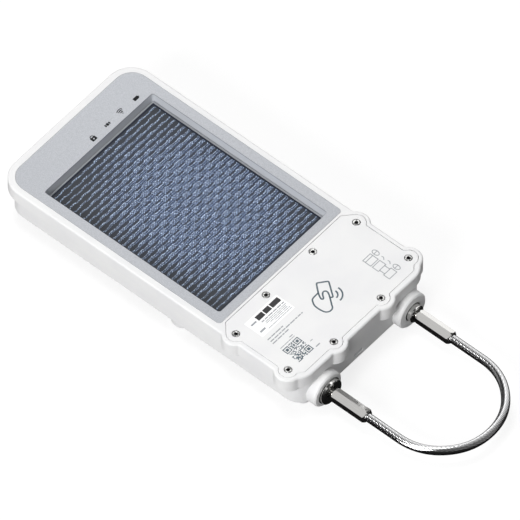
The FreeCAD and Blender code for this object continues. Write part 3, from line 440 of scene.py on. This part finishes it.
def wear(slot, finish):
    """Puts a finish on every CAD node whose slot this is."""
    finishes[slot] = finish.material
    dressed = [n for n, s in slot_of.items() if s == slot]
    for name in dressed:
        mesh = nodes[name].data
        mesh.materials.clear()
        mesh.materials.append(finish.material)
    print(slot, "on", ", ".join(dressed) or "new pieces only")


# %% [markdown]
# ## White casing
# The mouldings are a satin white plastic with a fine spark-eroded grain, a little rougher in patches. A fine
# noise carries the grain, and a large one, the patches, keeps large faces from looking computed.

# %% Moulded white
finish = Finish("moulded_white", IOR=1.46)
patches = finish.noise(26, 3)
grain = finish.noise(0.55, 3)
finish.feed("Base Color", finish.blend(patches.fade(0.35, 0.65), tone(228, 228, 228), tone(224, 224, 225)))
finish.feed("Roughness", 0.42 + 0.12 * patches + 0.06 * grain)
finish.relief(grain, 0.012)
wear("white_casing", finish)

# %% [markdown]
# ## Silver bezel and black icons
# The bezel is plastic with a silver lacquer: fine metal flakes under a satin top. The flakes are a small
# Voronoi pattern that shifts the tone of each cell a little. The window's walls are painted paler, as
# painted light, so the tone changes just below the face. The icons are black lacquer inlays.

# %% Silver lacquer
BEZEL_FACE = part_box("silver_bezel")[1].z / MM
finish = Finish("silver_lacquer", Metallic=0.25, IOR=1.5)
flakes = finish.node("TexVoronoi", {}, {"Vector": finish.place, "Scale": 3800.0}, "Color")
flake = finish.node("SeparateColor", {}, {0: flakes}, 0)
face = finish.blend(flake, tone(150, 153, 158), tone(177, 179, 184))
# Painted light: the window's walls below the face are painted paler, as if lit.
painted_wall_light = finish.axis("z").fade(BEZEL_FACE - 0.4, BEZEL_FACE - 1.2)
finish.feed("Base Color", finish.blend(painted_wall_light, face, tone(197, 200, 205)))
finish.feed("Roughness", 0.36 + 0.10 * flake)
finish.relief(finish.noise(0.4, 2), 0.004)
wear("silver_bezel", finish)

# %% Black lacquer
finish = Finish("icon_lacquer", IOR=1.5, Specular_IOR_Level=0.1)
speck = finish.noise(0.5, 2)
finish.feed("Base Color", finish.blend(speck, tone(8, 8, 10), tone(16, 17, 19)))
finish.feed("Roughness", 0.30 + 0.15 * speck)
wear("icon_black", finish)

# %% [markdown]
# ## Solar panel
# The laminate's face is embossed in rows across the panel, and the cells of each row are staggered like
# bricks: every other cell is dotted, and the ridge line steps up and down from cell to cell. The rows
# are real relief, a fine grid whose points are lifted by a formula, because light runs along their
# ridges. The dots are too fine for the mesh, so the finish carries them as bumps with the same formula.
# Its colour also paints light: a painted highlight along each crest, painted glints on the dots and lines,
# patches of painted shade on the ridges, and a brighter, bluer painted sheen toward the middle of the panel.

# %% Shape of the embossing
ROW = 3.88
CELL = 5.05
RIDGE_H = 0.16
RIDGE_STEP = 0.07
RIDGE_THIN = 0.08
RIDGE_WIDE = 0.37
RIDGE_SLOPE = 0.10
# Where the ridges are fullest; the finish also paints a brighter, bluer sheen there, as painted light.
FULL_AT = (6.0, -8.0)
FULL_SIZE = (62.0, 84.0)
STAGGER = 3.5      # how sharply a ridge steps from cell to cell
MARGIN = 1.3       # plain border of the glass
EASE = 0.6         # over which the relief rises inside the border
STEP = 0.45        # spacing of the grid

panel_low, panel_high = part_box("solar_panel")
panel_mid = (panel_low + panel_high) / 2


def smooth(t):
    t = max(0.0, min(1.0, t))
    return t * t * (3 - 2 * t)


def embossing(x, y):
    """Height in millimetres over the panel's flat face, at a place in millimetres from its middle."""
    row = y / ROW
    stagger = max(-1.0, min(1.0, STAGGER * math.sin(math.tau * (x / (2 * CELL) + math.floor(row) / 2))))
    off_ridge = abs(row - math.floor(row) - 0.5 - RIDGE_STEP * stagger)
    away = ((x - FULL_AT[0]) / FULL_SIZE[0]) ** 2 + ((y - FULL_AT[1]) / FULL_SIZE[1]) ** 2
    half = RIDGE_THIN + (RIDGE_WIDE - RIDGE_THIN) * smooth(1.05 - away)
    return RIDGE_H * smooth((half + RIDGE_SLOPE - off_ridge) / RIDGE_SLOPE)


# %% Solar glass
half_x, half_y = ((panel_high - panel_low) / 2 / MM).xy
bm = bmesh.new()
bmesh.ops.create_grid(bm, x_segments=round(2 * half_x / STEP), y_segments=round(2 * half_y / STEP), size=0.5)
bmesh.ops.scale(bm, vec=(2 * half_x, 2 * half_y, 1), verts=bm.verts)
for vert in bm.verts:
    inside = min(half_x - abs(vert.co.x), half_y - abs(vert.co.y)) - MARGIN
    if inside > 0:
        vert.co.z = embossing(vert.co.x, vert.co.y) * min(1.0, inside / EASE)
rim = [edge for edge in bm.edges if edge.is_boundary]
skirt = bmesh.ops.extrude_edge_only(bm, edges=rim)["geom"]
for vert in [g for g in skirt if isinstance(g, bmesh.types.BMVert)]:
    vert.co.z = -(panel_high.z - panel_low.z) / MM
bmesh.ops.holes_fill(bm, edges=[edge for edge in bm.edges if edge.is_boundary])
bmesh.ops.recalc_face_normals(bm, faces=bm.faces)
bmesh.ops.scale(bm, vec=(MM, MM, MM), verts=bm.verts)
bmesh.ops.translate(bm, vec=(panel_mid.x, panel_mid.y, panel_high.z), verts=bm.verts)
glass = piece("solar_glass", bm, smooth=True)
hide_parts("solar_panel")

# %% Solar laminate
DOT_X, DOT_Y = 1.5, 1.35
LINE_Y = 1.3

finish = Finish("solar_laminate", IOR=1.5, Specular_IOR_Level=0.22)
x = finish.axis("x") - panel_mid.x / MM
y = finish.axis("y") - panel_mid.y / MM
row = y / ROW
stagger = (STAGGER * (x / (2 * CELL) + row.floor() * 0.5).sin()).clamp(-1, 1)
off_ridge = row.fract() - 0.5 - RIDGE_STEP * stagger
away_x, away_y = (x - FULL_AT[0]) / FULL_SIZE[0], (y - FULL_AT[1]) / FULL_SIZE[1]
full_and_sheen = (1.05 - away_x * away_x - away_y * away_y).fade(0, 1)
half = RIDGE_THIN + (RIDGE_WIDE - RIDGE_THIN) * full_and_sheen
over = off_ridge.abs() - half
ridge = over.fade(RIDGE_SLOPE, 0.0)
# Painted highlight along the edge of each ridge.
crest_highlight = (off_ridge - half + 0.03).abs().fade(0.10, 0.0)
dotted = stagger.fade(-0.3, 0.3)
dots = ((x / DOT_X).sin() * (y / DOT_Y).sin()).fade(-0.05, 0.45)
lines = (y / LINE_Y + 0.25).sin().fade(0.1, 0.8)
glint = finish.noise(0.95, 2).fade(0.50, 0.58)
shade = finish.noise(0.8, 2, (1.3, 1, 1)).fade(0.47, 0.53)
spark = dotted * dots + (1 - dotted) * lines * 0.45
to_edge = finish.node("Math", {"operation": "MINIMUM"}, {0: half_x - x.abs(), 1: half_y - y.abs()})
border = to_edge.fade(1.0, 1.5)
# Painted light: gap and ridge tones turn brighter and bluer toward the middle, a painted sheen.
gap = finish.blend(full_and_sheen * 0.6, tone(53, 56, 62), tone(47, 53, 70))
tint = finish.blend(ridge, gap, finish.blend(full_and_sheen, tone(70, 79, 97), tone(66, 85, 119)))
# Painted shade: dark blue patches on the ridges.
tint = finish.blend(ridge * shade * 0.9, tint, tone(17, 25, 44))
# Painted glints: pale blue specks on the ridges' dots and lines.
tint = finish.blend(ridge * spark * (0.30 + 0.70 * glint), tint, tone(198, 220, 252))
tint = finish.blend(crest_highlight * (0.10 + 0.90 * glint) * 0.9, tint, tone(206, 226, 252))
finish.feed("Base Color", finish.blend(border, tone(30, 36, 50), tint))
finish.feed("Roughness", 0.46 - 0.14 * ridge * spark + 0.10 * shade)
finish.feed("Coat Weight", 0.10 * ridge)
finish.relief(ridge * (0.5 * glint + 0.5 * spark), 0.05)
wear("solar_laminate", finish)
glass.data.materials.append(finish.material)

# %% Panel edge
finish = Finish("panel_edge", Metallic=0.3, IOR=1.5)
grain = finish.noise(0.8, 3, (6, 1, 1))
finish.feed("Base Color", finish.blend(grain, tone(150, 153, 158), tone(168, 171, 176)))
finish.feed("Roughness", 0.35 + 0.15 * grain)
wear("panel_edge", finish)

# %% [markdown]
# ## Metals
# Four steels sit close together at the cable end. The sleeves, plug and swivel are polished and plated, the
# washers are turned, so fine rings run round their axis, the rope's wires are drawn, and the bolt is dark
# hardened steel. One function makes them all from a tone, a roughness and the direction of their marks.

# %% Steel of any kind
SCREW_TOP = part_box("cover_screws")[1].z / MM
SOCKET_FROM, SOCKET_FULL = 0.15, 0.45      # below the head's top, where its socket darkens
HEAD_DEPTH = 2.0


def steel(name, dark, light, roughness, marks, depth):
    """Steel whose fine marks run the way that `marks` stretches them."""
    finish = Finish(name, Metallic=1.0)
    lines = finish.noise(0.35, 4, marks)
    smudge = finish.noise(7, 2)
    finish.feed("Base Color", finish.blend(lines, dark, light))
    finish.feed("Roughness", roughness * (0.7 + 0.5 * lines + 0.3 * smudge))
    finish.relief(lines, depth)
    return finish


def screw_steel():
    """Stainless steel, with painted shade down in the sockets of the cover's screws."""
    finish = steel("screw_steel", tone(150, 150, 149), tone(214, 214, 212), 0.22, (1, 1, 1), 0.003)
    z = finish.axis("z")
    in_head = z.fade(SCREW_TOP - HEAD_DEPTH - 1, SCREW_TOP - HEAD_DEPTH)
    # Painted shade: the socket below the head's top is painted dark.
    socket_shade = z.fade(SCREW_TOP - SOCKET_FROM, SCREW_TOP - SOCKET_FULL) * in_head
    mottle = finish.noise(1.3, 3).fade(0.42, 0.55)
    face = finish.blend(mottle * 0.8, tone(196, 196, 194), tone(64, 64, 64))
    finish.feed("Base Color", finish.blend(socket_shade, face, tone(30, 30, 31)))
    return finish


STEELS = {  # darkest tone, lightest tone, roughness, stretch of the marks along x, y and z, depth of the marks
    "plated_steel": (tone(214, 213, 210), tone(232, 231, 229), 0.06, (1, 24, 1), 0.0004),
    "turned_steel": (tone(198, 198, 197), tone(224, 224, 223), 0.20, (3, 30, 3), 0.003),
    "rope_steel": (tone(158, 158, 160), tone(204, 204, 204), 0.07, (1, 5, 1), 0.001),
    "hard_steel": (tone(110, 111, 114), tone(140, 141, 144), 0.28, (20, 1, 1), 0.003),
    "insert_brass": (tone(178, 142, 74), tone(206, 172, 100), 0.26, (1, 1, 12), 0.003),
    "shield_can": (tone(186, 187, 188), tone(208, 209, 210), 0.32, (14, 1, 1), 0.002),
}
for slot, numbers in STEELS.items():
    wear(slot, steel(slot, *numbers))
wear("screw_steel", screw_steel())
rope.data.materials.append(finishes["rope_steel"])

# %% [markdown]
# ## Rubber, plastics and electronics
# Most of these lie inside, but an exploded or cut view shows them, so each gets its own colour, gloss and
# grain. They differ only in numbers, so one function makes them all.

# %% Plain mouldings
def moulded(name, first, second, roughness, grain_size, depth):
    """A rubber, plastic or ceramic with a fine grain and a slight change of tone."""
    finish = Finish(name)
    grain = finish.noise(grain_size, 3)
    patches = finish.noise(12, 2)
    finish.feed("Base Color", finish.blend(patches.fade(0.3, 0.7), first, second))
    finish.feed("Roughness", roughness + 0.10 * grain)
    finish.relief(grain, depth)
    return finish


MOULDINGS = {  # first tone, second tone, roughness, size of the grain, depth of the grain
    "pale_rubber": (tone(205, 206, 208), tone(192, 193, 196), 0.75, 0.5, 0.03),
    "grey_rubber": (tone(96, 98, 102), tone(84, 86, 90), 0.70, 0.5, 0.03),
    "silicone": (tone(196, 104, 84), tone(184, 92, 74), 0.60, 0.6, 0.02),
    "acetal": (tone(232, 231, 224), tone(224, 222, 214), 0.38, 0.8, 0.008),
    "black_plastic": (tone(34, 35, 37), tone(42, 43, 45), 0.45, 0.6, 0.015),
    "component_black": (tone(26, 26, 28), tone(34, 34, 36), 0.55, 0.3, 0.008),
    "ceramic": (tone(206, 200, 186), tone(194, 187, 172), 0.50, 0.4, 0.008),
    "battery_wrap": (tone(44, 92, 140), tone(38, 82, 128), 0.28, 1.5, 0.010),
    "clear_guide": (tone(222, 228, 232), tone(214, 220, 226), 0.12, 2.0, 0.003),
    "led_emitter": (tone(240, 232, 190), tone(232, 222, 176), 0.25, 0.4, 0.004),
    "label_film": (tone(250, 250, 250), tone(246, 246, 247), 0.30, 1.2, 0.004),
}
for slot, numbers in MOULDINGS.items():
    wear(slot, moulded(slot, *numbers))

# %% Circuit board
finish = Finish("board_green", IOR=1.5, Coat_Weight=0.4)
weave = (finish.axis("x") / 0.6).sin() * (finish.axis("y") / 0.6).sin()
tracks = finish.node("TexBrick", {}, {"Vector": finish.place, "Scale": 260.0, "Mortar Size": 0.03})
copper = finish.node("SeparateColor", {}, {0: tracks}, 0).fade(0.2, 0.7)
finish.feed("Base Color", finish.blend(copper * 0.4, tone(20, 84, 56), tone(38, 118, 78)))
finish.feed("Roughness", 0.34 + 0.06 * weave)
finish.relief(weave, 0.01)
wear("board_green", finish)
print(len(finishes), "finishes; bare slots:", sorted(set(slot_of.values()) - set(finishes)))

# %% [markdown]
# ## Printed marks
# The cover plate carries grey prints: a hand that holds a card up to a reader, a small diagram, a code
# block and short lines of small type. The marks here are generic: plain bars stand for type, and the code
# block is a random pattern that says nothing. Print is a very thin layer, so each mark is a real, flat
# solid a few hundredths of a millimetre proud of the plate.

# %% Ink
FACE_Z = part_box("cover_plate")[1].z / MM
INK_TOP = FACE_Z + 0.04
INK_FOOT = FACE_Z - 0.06


def ink(name, colour, paler):
    finish = Finish(name, IOR=1.5)
    screen = finish.noise(0.35, 3)
    finish.feed("Base Color", finish.blend(screen, colour, paler))
    finish.feed("Roughness", 0.50 + 0.15 * screen)
    return finish.material


SLATE = ink("slate_ink", tone(70, 84, 93), tone(84, 98, 107))
GREY = ink("grey_ink", tone(142, 146, 150), tone(158, 162, 165))
BLACK = ink("black_ink", tone(24, 24, 26), tone(34, 34, 36))


def bar(bm, x0, x1, y0, y1):
    """A printed rectangle, in millimetres."""
    size = (x1 - x0, y1 - y0, INK_TOP - INK_FOOT)
    middle = ((x0 + x1) / 2, (y0 + y1) / 2, (INK_FOOT + INK_TOP) / 2)
    bmesh.ops.create_cube(bm, size=1, matrix=Matrix.Translation(middle) @ Matrix.Diagonal((*size, 1)))


def stroke(bm, points, closed=False):
    """A wall along a line, which a Solidify modifier thickens to a printed stroke."""
    foot = [bm.verts.new((p[0], p[1], INK_FOOT)) for p in points]
    pairs = list(zip(foot, foot[1:] + foot[:1] if closed else foot[1:]))
    raised = bmesh.ops.extrude_edge_only(bm, edges=[bm.edges.new(pair) for pair in pairs])["geom"]
    top = [g for g in raised if isinstance(g, bmesh.types.BMVert)]
    bmesh.ops.translate(bm, verts=top, vec=(0, 0, INK_TOP - INK_FOOT))


def printed(name, bm, colour, width=None):
    """The finished marks as a piece, with their strokes thickened to a width."""
    bmesh.ops.scale(bm, vec=(MM, MM, MM), verts=bm.verts)
    made = piece(name, bm)
    made.data.materials.append(colour)
    if width:
        pen = made.modifiers.new("pen", "SOLIDIFY")
        pen.thickness = width * MM
        pen.offset = 0
        pen.use_even_offset = True
    return made


# %% Hand with a card
HAND = [
    (2.2, -88.5), (2.8, -89.3), (3.6, -89.3), (4.2, -88.4), (10.1, -80.6), (10.5, -79.8), (9.9, -79.1),
    (5.5, -75.6), (4.8, -75.3), (4.1, -75.8), (-0.3, -81.0), (-2.1, -84.1), (-2.4, -85.2), (-1.6, -86.1),
    (-0.8, -85.6), (0.6, -83.6), (1.8, -82.6), (3.2, -82.5), (4.3, -83.7), (3.9, -85.4), (1.9, -88.3),
    (-1.5, -92.6), (-2.8, -94.5), (-4.6, -95.2), (-6.5, -94.9), (-8.1, -93.6), (-8.8, -91.4), (-9.05, -88.0),
    (-8.9, -85.6), (-8.2, -84.0), (-6.6, -81.6), (-5.0, -80.75), (-0.4, -80.8),
]
WAVE_CENTRE = (4.2, -87.8)
bm = bmesh.new()
stroke(bm, [p.xy for p in smooth_line([(x, y, 0) for x, y in HAND], resolution=6)])
for radius in (3.6, 6.5):
    arc = [math.radians(-90 + 95 * k / 14) for k in range(15)]
    arc = [(WAVE_CENTRE[0] + radius * math.cos(a), WAVE_CENTRE[1] + radius * math.sin(a)) for a in arc]
    stroke(bm, arc)
printed("hand_and_card", bm, SLATE, width=1.0)

# %% Diagram of the terminals
def outline(bm, x0, x1, y0, y1):
    stroke(bm, [(x0, y0), (x1, y0), (x1, y1), (x0, y1)], closed=True)


bm = bmesh.new()
outline(bm, 35.7, 42.6, -91.5, -85.2)
outline(bm, 35.7, 42.6, -97.5, -92.8)
outline(bm, 35.7, 42.6, -106.2, -101.6)
stroke(bm, [(35.7, -87.2), (42.6, -87.2)])
stroke(bm, [(36.8, -97.5), (36.8, -101.6)])
stroke(bm, [(41.5, -97.5), (41.5, -101.6)])
for y in (-87.1, -103.6):
    ring = [math.tau * k / 20 for k in range(20)]
    stroke(bm, [(45.4 + 1.6 * math.cos(a), y + 2.5 * math.sin(a)) for a in ring], closed=True)
    stroke(bm, [(43.9, y + 0.2), (46.9, y + 0.2)])
for y in (-93.0, -97.9):
    stroke(bm, [(44.5, y - 1.4), (45.9, y + 0.2), (45.6, y + 1.5)])
printed("terminal_diagram", bm, GREY, width=0.5)

# %% Lines of small type
random.seed(11)


def type_line(bm, x0, x1, y, height, gap=0.55):
    """A line of small type, as bars of a word's length with a seeded spread."""
    x = x0
    while x < x1 - 0.8:
        end = min(x + random.uniform(1.6, 4.6), x1)
        bar(bm, x, end, y - height / 2, y + height / 2)
        x = end + gap


bm = bmesh.new()
type_line(bm, -46.6, -32.6, -80.9, 0.75)
type_line(bm, -46.4, -17.2, -83.1, 0.75)
type_line(bm, -46.7, -32.4, -85.1, 0.75)
type_line(bm, -36.6, -33.7, -89.4, 0.6)
type_line(bm, -46.5, -33.7, -90.9, 0.5, gap=0.3)
bar(bm, -31.5, -28.0, -106.4, -105.6)
bar(bm, -30.6, -28.6, -101.0, -100.5)
printed("cover_type", bm, GREY)

# %% Code block
CODE_AT = (-46.85, -106.0)
CODE_SIZE = 13.5
CODE_CELLS = 21
cell = CODE_SIZE / CODE_CELLS
corners = ((0, CODE_CELLS - 7), (CODE_CELLS - 7, CODE_CELLS - 7), (CODE_CELLS - 7, 0))


def is_dark(i, j):
    """Square rings in three corners, and a seeded scatter elsewhere."""
    for ci, cj in corners:
        di, dj = i - ci, j - cj
        if -1 <= di <= 7 and -1 <= dj <= 7:
            ring = max(abs(di - 3), abs(dj - 3))
            return ring in (0, 1, 3)
    return random.random() < 0.48


bm = bmesh.new()
for j in range(CODE_CELLS):
    run = None
    for i in range(CODE_CELLS + 1):
        dark = i < CODE_CELLS and is_dark(i, j)
        if dark and run is None:
            run = i
        if not dark and run is not None:
            y = CODE_AT[1] + j * cell
            bar(bm, CODE_AT[0] + run * cell, CODE_AT[0] + i * cell, y + 0.02, y + cell - 0.02)
            run = None
printed("code_block", bm, SLATE)

# %% Label print
bm = bmesh.new()
for x0, x1 in ((-39.0, -33.0), (-32.2, -27.0), (-26.2, -18.6)):
    bar(bm, x0, x1, -67.6, -63.9)
printed("label_bars", bm, BLACK)
bm = bmesh.new()
type_line(bm, -38.8, -18.6, -69.5, 0.8)
for y, x0 in ((-71.0, -37.0), (-72.1, -37.6), (-73.2, -35.0), (-74.4, -32.0), (-75.7, -39.6)):
    type_line(bm, x0, -18.6, y, 0.45, gap=0.35)
type_line(bm, -45.0, -39.8, -66.6, 1.2)
type_line(bm, -45.0, -39.6, -73.8, 1.3)
printed("label_type", bm, GREY)
